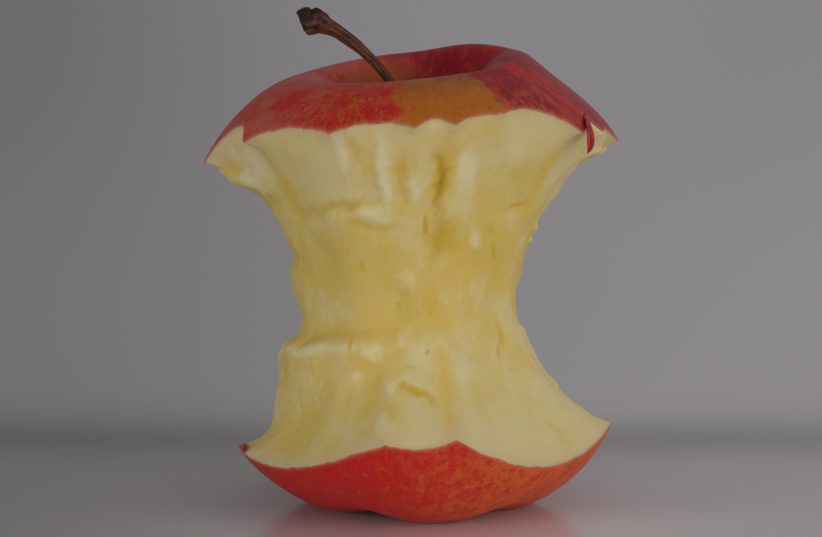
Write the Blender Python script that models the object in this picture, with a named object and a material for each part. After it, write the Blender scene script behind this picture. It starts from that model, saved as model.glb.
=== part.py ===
"""An eaten apple: the core that is left when the flesh has been bitten away all round.

Three pieces. The core itself is one solid, a cap of skin and flesh above and a bowl of skin and flesh
below, joined by a bitten waist. The woody stalk stands in its socket in the upper hollow, and the dried
calyx sits in its socket in the lower basin. Origin: on the ground, under the middle of the whole box.
"""

import math

import bmesh
import bpy
from mathutils import Vector

MM = 0.001

AXIS_X = 1.07 * MM  # where the fruit's own axis stands
AXIS_Y = 0.63 * MM

# The whole fruit, before it was eaten.
GIRTH_RADIUS = 37.2 * MM
GIRTH_HEIGHT = 37.8 * MM
RISE_ABOVE_GIRTH = 34.8 * MM
DROP_BELOW_GIRTH = 38.0 * MM
UPPER_ROUNDNESS = 2.14  # exponent of the outline above the girth, 2 is an ellipse
LOWER_ROUNDNESS = 3.06
LOWER_TAPER = 0.093  # the lower half is narrower than the upper by this share
TAPER_REACH = 0.72  # share of the drop over which the taper comes in
LOWER_SHIFT = 0.016  # share of the radius by which the lower half stands towards -X

STALK_HOLLOW_DEPTH = 13.2 * MM
STALK_HOLLOW_RADIUS = 17.8 * MM
BASIN_DEPTH = 7.4 * MM
BASIN_RADIUS = 15.5 * MM

LOBES = 5
LOBE_SHARPNESS = 0.8  # below 1 the grooves are narrower than the crests
SHOULDER_LOBE_AZIMUTH = -88.0  # degrees, of one of the five lobes above the girth
SHOULDER_LOBE_HEIGHT = 1.2 * MM
SHOULDER_LOBE_RADIUS = 11.0 * MM
SHOULDER_LOBE_WIDTH = 3.6 * MM
SHOULDER_SWELL = 0.0032  # share of the radius
FOOT_LOBE_AZIMUTH = -81.5  # and of one below it
FOOT_LOBE_HEIGHT = 0.9 * MM
FOOT_LOBE_RADIUS = 18.0 * MM
FOOT_LOBE_WIDTH = 7.0 * MM
FOOT_SWELL = 0.012

SHOULDER_RISE_X = 0.287  # the shoulders are higher towards +X and +Y
SHOULDER_RISE_Y = 0.205
SHOULDER_RISE_RADIUS = 16.5 * MM
FOOT_DROP = 0.026  # the foot is lower towards +X

# Where the bites end in the upper skin: (azimuth in degrees, height, rise of the arc to the next corner).
UPPER_CORNERS = (
    (-168, 54.0, 3.6),
    (-149, 58.7, 1.5),
    (-117, 60.8, 1.2),
    (-91, 61.7, 1.1),
    (-79, 62.3, 0.5),
    (-64, 63.3, 2.0),
    (-33, 60.3, 1.0),
    (-20, 59.5, 1.1),
    (-9, 57.9, 1.9),
    (22, 60.2, 1.6),
    (50, 59.5, 1.9),
    (84, 61.0, 1.4),
    (112, 60.3, 2.0),
    (145, 59.0, 2.6),
    (170, 56.5, 0.6),
)

# The same in the lower skin, where the arcs sag.
LOWER_CORNERS = (
    (-164, 10.3, -3.0),
    (-99, 15.7, -1.1),
    (-80, 16.3, -5.0),
    (-13, 14.6, -2.2),
    (16, 11.8, -1.8),
    (50, 14.4, -2.0),
    (84, 13.6, -2.6),
    (122, 14.0, -2.2),
    (152, 10.0, -0.8),
    (176, 9.2, -0.3),
)

# The waist: (azimuth, radius, height, how late it flares upwards, how late it flares downwards,
# depth of the ledge that the lower bites left, height of that ledge).
WAIST = (
    (-178, 19.5, 29.5, 3.0, 4.6, 2.6, 27.0),
    (-150, 19.4, 30.0, 2.5, 4.0, 3.2, 28.6),
    (-122, 19.0, 31.0, 1.55, 2.9, 2.2, 30.2),
    (-92, 17.6, 33.0, 1.3, 1.8, 0.8, 30.6),
    (-62, 17.4, 33.0, 1.45, 1.75, 0.0, 30.0),
    (-35, 17.2, 32.5, 1.9, 1.8, 0.0, 29.0),
    (0, 15.3, 31.0, 2.3, 1.9, 0.0, 28.0),
    (35, 17.0, 32.0, 2.1, 2.2, 0.0, 27.0),
    (70, 18.0, 33.0, 1.8, 2.0, 0.8, 26.0),
    (105, 18.0, 33.0, 1.9, 2.2, 1.6, 26.0),
    (140, 18.6, 31.0, 2.6, 3.4, 1.8, 26.5),
)
LEDGE_SLOPE = 1.6 * MM  # height over which a ledge comes out

# Single bites, each a dish in the flesh: (azimuth, height, half its width in degrees, half its height,
# depth).
BITES = (
    (-158, 52, 11, 7.5, 0.8),
    (-135, 53, 17, 8.5, 1.0),
    (-104, 54, 13, 8.0, 0.8),
    (-82, 51, 8, 9.0, 1.8),
    (-51, 54, 20, 9.0, 1.2),
    (-18, 47, 14, 8.5, 1.0),
    (8, 48, 15, 9.0, 1.2),
    (37, 52, 16, 8.5, 1.3),
    (69, 53, 18, 8.5, 1.2),
    (100, 52, 15, 8.0, 1.3),
    (130, 51, 17, 8.5, 1.2),
    (170, 48, 20, 6.5, 2.2),
    (-175, 29.5, 18, 4.5, 1.4),
    (-138, 38, 18, 8.5, 1.0),
    (-107, 38, 15, 8.0, 0.9),
    (-77, 41, 12, 6.5, 2.0),
    (-52, 35, 17, 9.5, 1.1),
    (-20, 36, 16, 9.0, 0.9),
    (12, 35, 17, 9.5, 0.9),
    (45, 37, 18, 9.0, 1.2),
    (78, 38, 17, 9.0, 1.3),
    (110, 36, 17, 9.0, 1.2),
    (146, 36, 19, 9.0, 1.1),
    (-163, 20, 13, 7.0, 0.5),
    (-138, 20, 18, 8.0, 0.8),
    (-108, 23, 14, 7.0, 1.1),
    (-88, 22, 9, 6.5, 1.4),
    (-52, 21, 26, 9.0, 1.3),
    (-10, 21, 17, 8.0, 0.9),
    (24, 20, 17, 8.0, 1.1),
    (58, 20, 17, 8.0, 1.2),
    (94, 20, 18, 8.0, 1.2),
    (128, 19, 16, 7.5, 1.1),
    (168, 16, 20, 6.0, 1.2),
)

# The stalk: centre line (x, y, height, thickness), root first.
STALK = (
    (-1.9, 0.4, 56.4, 1.6),
    (-1.9, 0.4, 59.2, 1.6),
    (-2.4, 0.3, 62.0, 1.4),
    (-3.4, 0.2, 64.8, 1.3),
    (-4.6, 0.1, 67.0, 1.35),
    (-6.7, 0.0, 69.6, 1.55),
    (-8.3, -0.1, 71.2, 1.6),
    (-9.8, -0.1, 72.5, 1.7),
    (-11.4, -0.1, 73.7, 1.9),
    (-12.9, 0.0, 74.7, 2.0),
    (-14.4, 0.0, 75.4, 2.3),
    (-15.7, 0.1, 76.1, 3.8),
    (-16.7, 0.1, 76.2, 4.1),
    (-17.6, 0.1, 76.1, 3.6),
    (-18.3, 0.1, 75.8, 2.2),
)
STALK_SIDES = 12
STALK_BASE_RADIUS = 0.5 * MM  # the curve's own radius, which each thickness multiplies
STALK_WELD = 0.01 * MM
SOCKET_CLEARANCE = 0.3 * MM
SOCKET_SIDES = 16
STALK_SOCKET_FLOOR = 56.1 * MM
STALK_SOCKET_ROOF = 64.0 * MM  # above the hollow's floor

CALYX_SIDES = 20
CALYX_ROWS = 12
CALYX_HEIGHT = 6.35 * MM  # of the basin's roof, where the sepals spring from
CALYX_SOCKET_FOOT = 2.0 * MM  # below the basin's roof, in the open
CALYX_PLUG_RADIUS = 1.7 * MM
CALYX_PLUG_LENGTH = 2.6 * MM
CALYX_DROP = 3.0 * MM
CALYX_SPREAD = 3.1 * MM
CALYX_SAG = 0.7 * MM  # the sepals' outer ends hang lower, clear of the basin
CALYX_NECK = 0.25  # share of the unit sphere's height above which it becomes the plug
CALYX_PLUG_FLARE = 1.4  # the plug reaches its full radius at this part of the sphere's
SEPAL_NOTCH = 0.28  # share of the spread that the gaps between the sepals cut in

AROUND = 72  # columns round the fruit
FRUIT_ROWS = 52
WALL_ROWS = 25  # rows up the bitten wall
LEDGE_ROW = 10
WALL_OVERSHOOT = 2.0 * MM  # the wall runs on past the skin by this height
RING_RADIUS = 48.0 * MM
TORUS_RADIUS = 2.0  # of the unit ring that is reshaped
OUTER_ROWS = 3  # rows up the ring's outer side
SHARP_ANGLE = math.radians(40.0)


def clean_scene():
    for ob in list(bpy.data.objects):
        bpy.data.objects.remove(ob, do_unlink=True)


def smooth_step(x):
    x = min(max(x, 0.0), 1.0)
    return x * x * (3.0 - 2.0 * x)


def hollow(x):
    """1 at the middle of a round hollow, 0 at its rim and outside."""
    x = min(x, 1.0)
    return (1.0 - x * x) ** 2


def between(azimuth, table):
    """The two rows of a table on either side of an azimuth, and the share of the way between them."""
    first = table[0][0]
    turned = (azimuth - first) % 360.0 + first
    k = max(i for i, row in enumerate(table) if row[0] <= turned)
    row = table[k]
    following = table[(k + 1) % len(table)]
    span = (following[0] - row[0]) % 360.0
    return row, following, (turned - row[0]) / span


def skin_edge(azimuth, corners):
    row, following, share = between(azimuth, corners)
    chord = row[1] + (following[1] - row[1]) * share
    return (chord + row[2] * 4.0 * share * (1.0 - share)) * MM


def waist(azimuth):
    row, following, share = between(azimuth, WAIST)
    share = smooth_step(share)
    return [a + (b - a) * share for a, b in zip(row[1:], following[1:])]


def lobe(azimuth, crest_azimuth):
    """1 on the crest of a lobe, -1 in the groove between two."""
    turn = math.radians(azimuth - crest_azimuth) * LOBES / 2.0
    return 2.0 * abs(math.cos(turn)) ** LOBE_SHARPNESS - 1.0


def shoulder_lobes(azimuth, flat):
    """How far the lobes stand up round the stalk's hollow."""
    off_crest = (flat - SHOULDER_LOBE_RADIUS) / SHOULDER_LOBE_WIDTH
    return SHOULDER_LOBE_HEIGHT * lobe(azimuth, SHOULDER_LOBE_AZIMUTH) * math.exp(-(off_crest**2))


def foot_lobes(azimuth, flat):
    """How far the lobes hang down round the basin."""
    off_crest = (flat - FOOT_LOBE_RADIUS) / FOOT_LOBE_WIDTH
    return FOOT_LOBE_HEIGHT * lobe(azimuth, FOOT_LOBE_AZIMUTH) * math.exp(-(off_crest**2))


def swell(azimuth, height):
    """How the lobes, the taper and the shift change the fruit's radius at a height."""
    above = min(max((height - GIRTH_HEIGHT) / RISE_ABOVE_GIRTH, 0.0), 1.0)
    below = min(max((GIRTH_HEIGHT - height) / DROP_BELOW_GIRTH, 0.0), 1.0)
    lobes = 1.0 + SHOULDER_SWELL * lobe(azimuth, SHOULDER_LOBE_AZIMUTH) * above
    lobes += FOOT_SWELL * lobe(azimuth, FOOT_LOBE_AZIMUTH) * below
    taper = LOWER_TAPER + LOWER_SHIFT * math.cos(math.radians(azimuth))
    return lobes * (1.0 - taper * smooth_step(below / TAPER_REACH))


def fruit_radius(azimuth, height):
    """The whole fruit's radius at a height between its basin and its shoulders."""
    if height >= GIRTH_HEIGHT:
        share = (height - GIRTH_HEIGHT) / RISE_ABOVE_GIRTH
        power = UPPER_ROUNDNESS
    else:
        share = (GIRTH_HEIGHT - height) / DROP_BELOW_GIRTH
        power = LOWER_ROUNDNESS
    outline = (1.0 - min(share, 1.0) ** power) ** (1.0 / power)
    return GIRTH_RADIUS * outline * swell(azimuth, height)


def fruit_point(azimuth, latitude):
    """A point of the whole fruit's skin. Latitude runs from -90 degrees in the basin to 90 at the stalk."""
    across = abs(math.cos(math.radians(latitude)))
    along = math.sin(math.radians(latitude))
    upper = along >= 0.0
    power = 2.0 / (UPPER_ROUNDNESS if upper else LOWER_ROUNDNESS)
    reach = RISE_ABOVE_GIRTH if upper else DROP_BELOW_GIRTH
    flat = GIRTH_RADIUS * across**power
    height = GIRTH_HEIGHT + math.copysign(reach * abs(along) ** power, along)
    radius = flat * swell(azimuth, height)
    x = radius * math.cos(math.radians(azimuth))
    y = radius * math.sin(math.radians(azimuth))
    if upper:
        fade = math.exp(-((flat / SHOULDER_RISE_RADIUS) ** 4))
        height += fade * (SHOULDER_RISE_X * x + SHOULDER_RISE_Y * y)
        height -= STALK_HOLLOW_DEPTH * hollow(flat / STALK_HOLLOW_RADIUS)
        height += shoulder_lobes(azimuth, flat)
    else:
        height += BASIN_DEPTH * hollow(flat / BASIN_RADIUS)
        height -= FOOT_DROP * x + foot_lobes(azimuth, flat)
    return Vector((x, y, max(height, 0.0)))


def bite_depth(azimuth, height):
    """The deepest of the single bites here."""
    deepest = 0.0
    for middle, level, half_width, half_height, depth in BITES:
        sideways = ((azimuth - middle + 180.0) % 360.0 - 180.0) / half_width
        upwards = (height / MM - level) / half_height
        deepest = max(deepest, depth * (1.0 - sideways**2 - upwards**2))
    return deepest * MM


def wall_radius(azimuth, height):
    """The bitten wall's distance from the axis."""
    top = skin_edge(azimuth, UPPER_CORNERS)
    bottom = skin_edge(azimuth, LOWER_CORNERS)
    radius, level, late_up, late_down, ledge, ledge_height = waist(azimuth)
    radius *= MM
    level *= MM
    if height > level:
        share = (height - level) / (top - level)
        rim = fruit_radius(azimuth, top)
        flare = (rim - radius) * share**late_up
    else:
        share = (level - height) / (level - bottom)
        rim = fruit_radius(azimuth, bottom)
        flare = (rim - radius) * share**late_down
        out = smooth_step((ledge_height * MM - height) / LEDGE_SLOPE)
        flare += ledge * MM * out * max(1.0 - share**4, 0.0)
    return radius + flare - bite_depth(azimuth, height) * max(1.0 - share**4, 0.0)


def material(name, colour, roughness):
    made = bpy.data.materials.new(name)
    made.use_nodes = True
    shader = made.node_tree.nodes["Principled BSDF"]
    shader.inputs["Base Color"].default_value = (*colour, 1.0)
    shader.inputs["Roughness"].default_value = roughness
    shader.inputs["Metallic"].default_value = 0.0
    return made


def new_object(name, mesh, collection, finish=None):
    made = bpy.data.objects.new(name, mesh)
    collection.objects.link(made)
    if finish is not None:
        mesh.materials.append(finish)
    return made


def hide_cutter(cutter):
    cutter.hide_render = True
    cutter.display_type = "WIRE"


def cut(target, cutter):
    modifier = target.modifiers.new("Cut by " + cutter.name, "BOOLEAN")
    modifier.operation = "DIFFERENCE"
    modifier.solver = "EXACT"
    modifier.object = cutter


def whole_fruit(collection, finish):
    """The uneaten apple: a sphere drawn out to its outline, its two hollows and its five lobes."""
    bm = bmesh.new()
    bmesh.ops.create_uvsphere(bm, u_segments=AROUND, v_segments=FRUIT_ROWS, radius=1.0)
    for v in bm.verts:
        azimuth = math.degrees(math.atan2(v.co.y, v.co.x))
        latitude = math.degrees(math.asin(max(-1.0, min(1.0, v.co.z))))
        v.co = fruit_point(azimuth, latitude)
    mesh = bpy.data.meshes.new("apple_core")
    bm.to_mesh(mesh)
    bm.free()
    mesh.shade_smooth()
    mesh.set_sharp_from_angle(angle=SHARP_ANGLE)
    return new_object("apple_core", mesh, collection, finish)


def wall_height(azimuth, row):
    """Heights of the wall's rows: even up to the foot of the ledge, one step over it, then even again."""
    ledge_top = waist(azimuth)[5] * MM
    ledge_foot = ledge_top - LEDGE_SLOPE
    if row <= LEDGE_ROW:
        low = skin_edge(azimuth, LOWER_CORNERS) - WALL_OVERSHOOT
        return low + (ledge_foot - low) * row / LEDGE_ROW
    high = skin_edge(azimuth, UPPER_CORNERS) + WALL_OVERSHOOT
    share = (row - LEDGE_ROW - 1) / (WALL_ROWS - LEDGE_ROW - 2)
    return ledge_top + (high - ledge_top) * share


def bitten_ring(collection):
    """What was eaten: a ring whose inner side is the bitten wall and whose outer side clears the fruit."""
    rows = WALL_ROWS + OUTER_ROWS
    bpy.ops.mesh.primitive_torus_add(
        major_segments=AROUND, minor_segments=rows, major_radius=TORUS_RADIUS, minor_radius=1.0
    )
    ring = bpy.context.active_object
    ring.name = "bitten_ring"
    half_step = 180.0 / AROUND  # its columns lie between the fruit's own
    for v in ring.data.vertices:
        x, y, z = v.co
        azimuth = math.degrees(math.atan2(y, x)) + half_step
        turn = math.atan2(z, TORUS_RADIUS - math.hypot(x, y)) / (2.0 * math.pi)  # 0 on the inner side
        row = round(turn * rows) + WALL_ROWS // 2
        height = wall_height(azimuth, min(max(row, 0), WALL_ROWS - 1))
        if abs(row - WALL_ROWS // 2) == rows // 2:
            height = GIRTH_HEIGHT
        on_wall = 0 <= row < WALL_ROWS
        radius = wall_radius(azimuth, height) if on_wall else RING_RADIUS
        v.co.x = radius * math.cos(math.radians(azimuth))
        v.co.y = radius * math.sin(math.radians(azimuth))
        v.co.z = height
    for holder in list(ring.users_collection):
        holder.objects.unlink(ring)
    collection.objects.link(ring)
    hide_cutter(ring)
    return ring


def socket(name, place, low, high, radius, collection):
    """A round hole that a woody piece is rooted in."""
    bm = bmesh.new()
    bmesh.ops.create_cone(
        bm, cap_ends=True, segments=SOCKET_SIDES, radius1=radius, radius2=radius, depth=high - low
    )
    mesh = bpy.data.meshes.new(name)
    bm.to_mesh(mesh)
    bm.free()
    made = new_object(name, mesh, collection)
    made.location = (*place, (low + high) / 2.0)
    hide_cutter(made)
    return made


def stalk(collection, finish):
    """The woody stalk: a bent twig that swells to a knob where it broke off the tree."""
    curve = bpy.data.curves.new("stalk_line", "CURVE")
    curve.dimensions = "3D"
    curve.use_fill_caps = True
    curve.bevel_depth = STALK_BASE_RADIUS
    curve.bevel_resolution = STALK_SIDES // 2 - 2
    line = curve.splines.new("POLY")
    line.points.add(len(STALK) - 1)
    for point, (x, y, z, thickness) in zip(line.points, STALK):
        point.co = (x * MM, y * MM, z * MM, 1.0)
        point.radius = thickness
    holder = bpy.data.objects.new("stalk_line", curve)
    collection.objects.link(holder)
    bpy.context.view_layer.update()
    evaluated = holder.evaluated_get(bpy.context.evaluated_depsgraph_get())
    mesh = bpy.data.meshes.new_from_object(evaluated)
    mesh.name = "stalk"
    bpy.data.objects.remove(holder, do_unlink=True)
    bm = bmesh.new()
    bm.from_mesh(mesh)
    bmesh.ops.remove_doubles(bm, verts=bm.verts, dist=STALK_WELD)
    bmesh.ops.recalc_face_normals(bm, faces=bm.faces)
    bm.to_mesh(mesh)
    bm.free()
    mesh.shade_smooth()
    mesh.materials.clear()
    return new_object("stalk", mesh, collection, finish)


def calyx(collection, finish):
    """The dried flower end: a plug in its socket and five withered sepals drawn together below it."""
    bm = bmesh.new()
    bmesh.ops.create_uvsphere(bm, u_segments=CALYX_SIDES, v_segments=CALYX_ROWS, radius=1.0)
    for v in bm.verts:
        azimuth = math.atan2(v.co.y, v.co.x)
        up = v.co.z
        across = math.hypot(v.co.x, v.co.y)
        if up > CALYX_NECK:
            radius = CALYX_PLUG_RADIUS * min(1.0, across * CALYX_PLUG_FLARE)
            rise = (up - CALYX_NECK) / (1.0 - CALYX_NECK)
            height = CALYX_PLUG_LENGTH * rise - 2.0 * SOCKET_CLEARANCE
        else:
            sepal = 1.0 - SEPAL_NOTCH + SEPAL_NOTCH * math.cos(LOBES * azimuth)
            radius = CALYX_SPREAD * across * sepal
            drop = (CALYX_NECK - up) / (1.0 + CALYX_NECK)
            height = -SOCKET_CLEARANCE - CALYX_SAG * across - CALYX_DROP * drop
        v.co = (radius * math.cos(azimuth), radius * math.sin(azimuth), CALYX_HEIGHT + height)
    mesh = bpy.data.meshes.new("calyx")
    bm.to_mesh(mesh)
    bm.free()
    mesh.shade_smooth()
    return new_object("calyx", mesh, collection, finish)


def stand_on_axis(collections):
    """Place everything by one empty at the foot of the fruit's axis."""
    axis = bpy.data.objects.new("fruit_axis", None)
    collections[0].objects.link(axis)
    for collection in collections:
        for ob in collection.objects:
            if ob is not axis:
                ob.parent = axis
    axis.location = (AXIS_X, AXIS_Y, 0.0)


def build():
    clean_scene()
    parts = bpy.data.collections.new("apple core")
    cutters = bpy.data.collections.new("cutters")
    bpy.context.scene.collection.children.link(parts)
    bpy.context.scene.collection.children.link(cutters)

    flesh = material("apple flesh and skin", (0.72, 0.60, 0.30), 0.45)
    wood = material("stalk wood", (0.10, 0.045, 0.025), 0.75)
    dry = material("dried sepals", (0.12, 0.07, 0.035), 0.85)

    core = whole_fruit(parts, flesh)
    cut(core, bitten_ring(cutters))
    root_x, root_y, _, thickness = STALK[0]
    root = (root_x * MM, root_y * MM)
    hole = thickness * STALK_BASE_RADIUS + SOCKET_CLEARANCE
    cut(core, socket("stalk_socket", root, STALK_SOCKET_FLOOR, STALK_SOCKET_ROOF, hole, cutters))
    hole = CALYX_PLUG_RADIUS + SOCKET_CLEARANCE
    roof = CALYX_HEIGHT + CALYX_PLUG_LENGTH - SOCKET_CLEARANCE
    cut(core, socket("calyx_socket", (0.0, 0.0), CALYX_SOCKET_FOOT, roof, hole, cutters))
    stalk(parts, wood)
    calyx(parts, dry)
    stand_on_axis((parts, cutters))


build()
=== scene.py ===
# An eaten apple core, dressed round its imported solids. Lengths are in metres and angles in degrees.
import math

import bmesh
import bpy
import numpy as np
from mathutils import Matrix, Vector, noise


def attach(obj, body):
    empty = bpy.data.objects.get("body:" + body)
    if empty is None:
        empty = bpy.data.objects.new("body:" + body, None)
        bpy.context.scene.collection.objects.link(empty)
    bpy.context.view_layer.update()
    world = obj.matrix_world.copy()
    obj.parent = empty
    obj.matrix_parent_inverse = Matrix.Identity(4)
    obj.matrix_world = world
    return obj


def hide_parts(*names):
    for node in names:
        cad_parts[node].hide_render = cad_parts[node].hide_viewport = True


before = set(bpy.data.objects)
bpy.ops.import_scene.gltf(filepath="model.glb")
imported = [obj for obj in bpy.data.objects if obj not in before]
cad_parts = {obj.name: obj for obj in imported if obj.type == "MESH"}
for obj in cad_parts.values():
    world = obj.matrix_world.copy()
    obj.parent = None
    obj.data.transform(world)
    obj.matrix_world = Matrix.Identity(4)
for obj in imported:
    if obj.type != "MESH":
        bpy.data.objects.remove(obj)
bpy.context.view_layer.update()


# --- Bitten flesh ------------------------------------------------------------------------------------
# All that is left of the fruit's flesh, one moist pale piece: it flares from a waist of about 36 mm to
# the skin above and below. Front teeth left broad dishes and grooves, and torn fibres between them.
# Azimuths turn from +X over +Y round the fruit's own axis, so that -90 degrees faces the camera.

MM = 0.001
AXIS_X = 1.07 * MM  # where the fruit's own axis stands
AXIS_Y = 0.63 * MM
FLESH_COLUMNS = 440
FLESH_ROWS = 176
HIDDEN_ROWS = 26  # rows under the skin, above and below
HIDDEN_CROWDING = 0.8  # the hidden rows lie closer together towards the pole
HIDDEN_POLE = math.radians(89.9)
SKIN = 0.14 * MM  # how thick the skin is
FLESH_INSET = 1.2 * SKIN  # of the hidden flesh towards the axis, and upright next
FLESH_DROP = 2.0 * SKIN
HOLLOW_DROP = 5.0 * SKIN  # how much deeper it lies round the stalk's hollow and the basin
INSET_START = 13.0 * MM  # distance from the axis past which the inset grows, and over how far
INSET_EASE = 6.0 * MM
DROP_START = 18.0 * MM  # distance within which the deeper part starts, and over how far
DROP_EASE = 5.0 * MM

LOBES = 5
LOBE_SHARPNESS = 0.8
GROOVE_SOFTNESS = 0.035  # rounds the bottom of the grooves between the lobes
TAPER_REACH = 0.72

UPPER_HALF = {
    "Girth radius": 37.2 * MM,
    "Girth height": 37.8 * MM,
    "Reach": 34.8 * MM,
    "Roundness": 2.14,
    "Taper": 0.0,
    "Shift": 0.0,
    "Lobe azimuth": -88.0,
    "Lobe swell": 0.0032,
    "Lobe height": 1.2 * MM,
    "Lobe radius": 11.0 * MM,
    "Lobe width": 3.6 * MM,
    "Hollow depth": 13.2 * MM,
    "Hollow radius": 17.8 * MM,
    "Lean X": 0.287,
    "Lean Y": 0.205,
    "Lean reach": 16.5 * MM,
}
LOWER_HALF = {
    "Girth radius": 37.2 * MM,
    "Girth height": 37.8 * MM,
    "Reach": -38.0 * MM,
    "Roundness": 3.06,
    "Taper": 0.093,
    "Shift": 0.016,
    "Lobe azimuth": -81.5,
    "Lobe swell": 0.012,
    "Lobe height": -0.9 * MM,
    "Lobe radius": 18.0 * MM,
    "Lobe width": 7.0 * MM,
    "Hollow depth": -7.4 * MM,
    "Hollow radius": 15.5 * MM,
    "Lean X": -0.026,
    "Lean Y": 0.0,
    "Lean reach": 1.0,
}

# Where the bites end in the skin: (azimuth, height in mm, rise of the arc to the next corner in mm).
UPPER_CORNERS = (
    (-174, 54.2, 3.9),
    (-149, 58.7, 1.5),
    (-117, 60.8, 1.2),
    (-91, 61.7, 1.1),
    (-79, 62.3, 0.5),
    (-64, 63.3, 2.0),
    (-33, 60.3, 1.0),
    (-20, 59.5, 1.1),
    (-9, 57.9, 1.9),
    (22, 60.2, 1.6),
    (50, 59.5, 1.9),
    (84, 61.0, 1.4),
    (112, 60.3, 2.0),
    (145, 59.0, 2.6),
    (170, 56.5, 0.6),
)
LOWER_CORNERS = (
    (-164, 9.9, -2.8),
    (-99, 15.7, -1.1),
    (-80, 16.3, -5.0),
    (-13, 13.8, -2.0),
    (16, 11.8, -1.8),
    (50, 14.4, -2.0),
    (84, 13.6, -2.6),
    (122, 14.0, -2.2),
    (152, 7.6, -0.6),
    (178, 8.8, 0.3),
)
EDGE_WANDER = 0.28  # mm, how far the torn edge of the skin strays from its arcs
EDGE_WAVES = ((9.0, 1.0), (30.0, 0.6))  # how many of those turns there are, and how strong
RIM_LATITUDES = np.radians(np.linspace(5.0, 65.0, 240))  # between which the skin can end

FREE_TIP = (-172.0, 12.0, 1.1)  # azimuth, half width in degrees and height in mm of skin standing free

# The waist: (azimuth, radius, height, how late it flares upwards, how late downwards, depth of the ledge
# that the lower bites left, height of that ledge). Lengths in mm.
WAIST = (
    (-178, 19.5, 29.5, 2.5, 6.0, 2.6, 27.0),
    (-150, 19.4, 30.0, 2.5, 6.5, 3.2, 28.6),
    (-122, 19.0, 31.0, 1.55, 2.9, 2.2, 30.2),
    (-92, 17.6, 33.0, 1.3, 1.8, 0.8, 30.6),
    (-62, 17.4, 33.0, 1.45, 1.75, 0.0, 30.0),
    (-35, 17.2, 32.5, 1.9, 1.8, 0.0, 29.0),
    (0, 15.6, 31.0, 2.1, 1.65, 0.0, 28.0),
    (35, 17.0, 32.0, 2.1, 2.2, 0.0, 27.0),
    (70, 18.0, 33.0, 1.8, 2.0, 0.8, 26.0),
    (105, 18.0, 33.0, 1.9, 2.2, 1.6, 26.0),
    (140, 18.6, 31.0, 2.6, 4.6, 1.8, 26.5),
)
LEDGE_SLOPE = 2.5  # mm of height over which the ledge comes out
BITE_BLEND = 0.40  # mm, how softly neighbouring bites run into each other
RAGGED = 1.5  # mm by which the ledge's height strays
EVEN_REACH = 17  # columns over which the corners of the skin's edge are evened out in the flesh
EDGE_REACH = 3.4  # mm below the skin's edge in which they come back
WANDER_REACH = 0.8  # and in which the small turns of that edge do
SOFT_REACH = 9  # columns over which smaller turns and the bites' own ridges are softened

# Broad single bites: (azimuth, height in mm, half their width in degrees, half their height and depth
# in mm).
BITES = (
    (-140, 53, 24, 8.5, 0.9),
    (-104, 54, 13, 8.0, 0.8),
    (-82, 51, 8, 9.0, 1.8),
    (-51, 54, 20, 9.0, 1.2),
    (-20, 47, 18, 8.5, 0.7),
    (8, 48, 15, 9.0, 1.2),
    (37, 52, 16, 8.5, 1.3),
    (69, 53, 18, 8.5, 1.2),
    (100, 52, 15, 8.0, 1.3),
    (130, 51, 17, 8.5, 1.2),
    (172, 48, 22, 7.0, 1.5),
    (-175, 29.5, 18, 4.5, 1.4),
    (-138, 38, 18, 8.5, 1.0),
    (-107, 38, 15, 8.0, 0.9),
    (-77, 41, 12, 6.5, 2.0),
    (-52, 35, 17, 9.5, 1.1),
    (-20, 36, 16, 9.0, 0.9),
    (12, 35, 17, 9.5, 0.9),
    (45, 37, 18, 9.0, 1.2),
    (78, 38, 17, 9.0, 1.3),
    (110, 36, 17, 9.0, 1.2),
    (146, 36, 19, 9.0, 1.1),
    (-163, 20, 13, 7.0, 0.5),
    (-138, 20, 18, 8.0, 0.8),
    (-108, 23, 14, 7.0, 1.1),
    (-88, 22, 9, 6.5, 1.4),
    (-52, 21, 26, 9.0, 1.3),
    (-10, 21, 17, 8.0, 0.9),
    (24, 20, 17, 8.0, 1.1),
    (58, 20, 17, 8.0, 1.2),
    (94, 20, 18, 8.0, 1.2),
    (128, 19, 16, 7.5, 1.1),
    (168, 16, 20, 6.0, 1.2),
)

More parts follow.
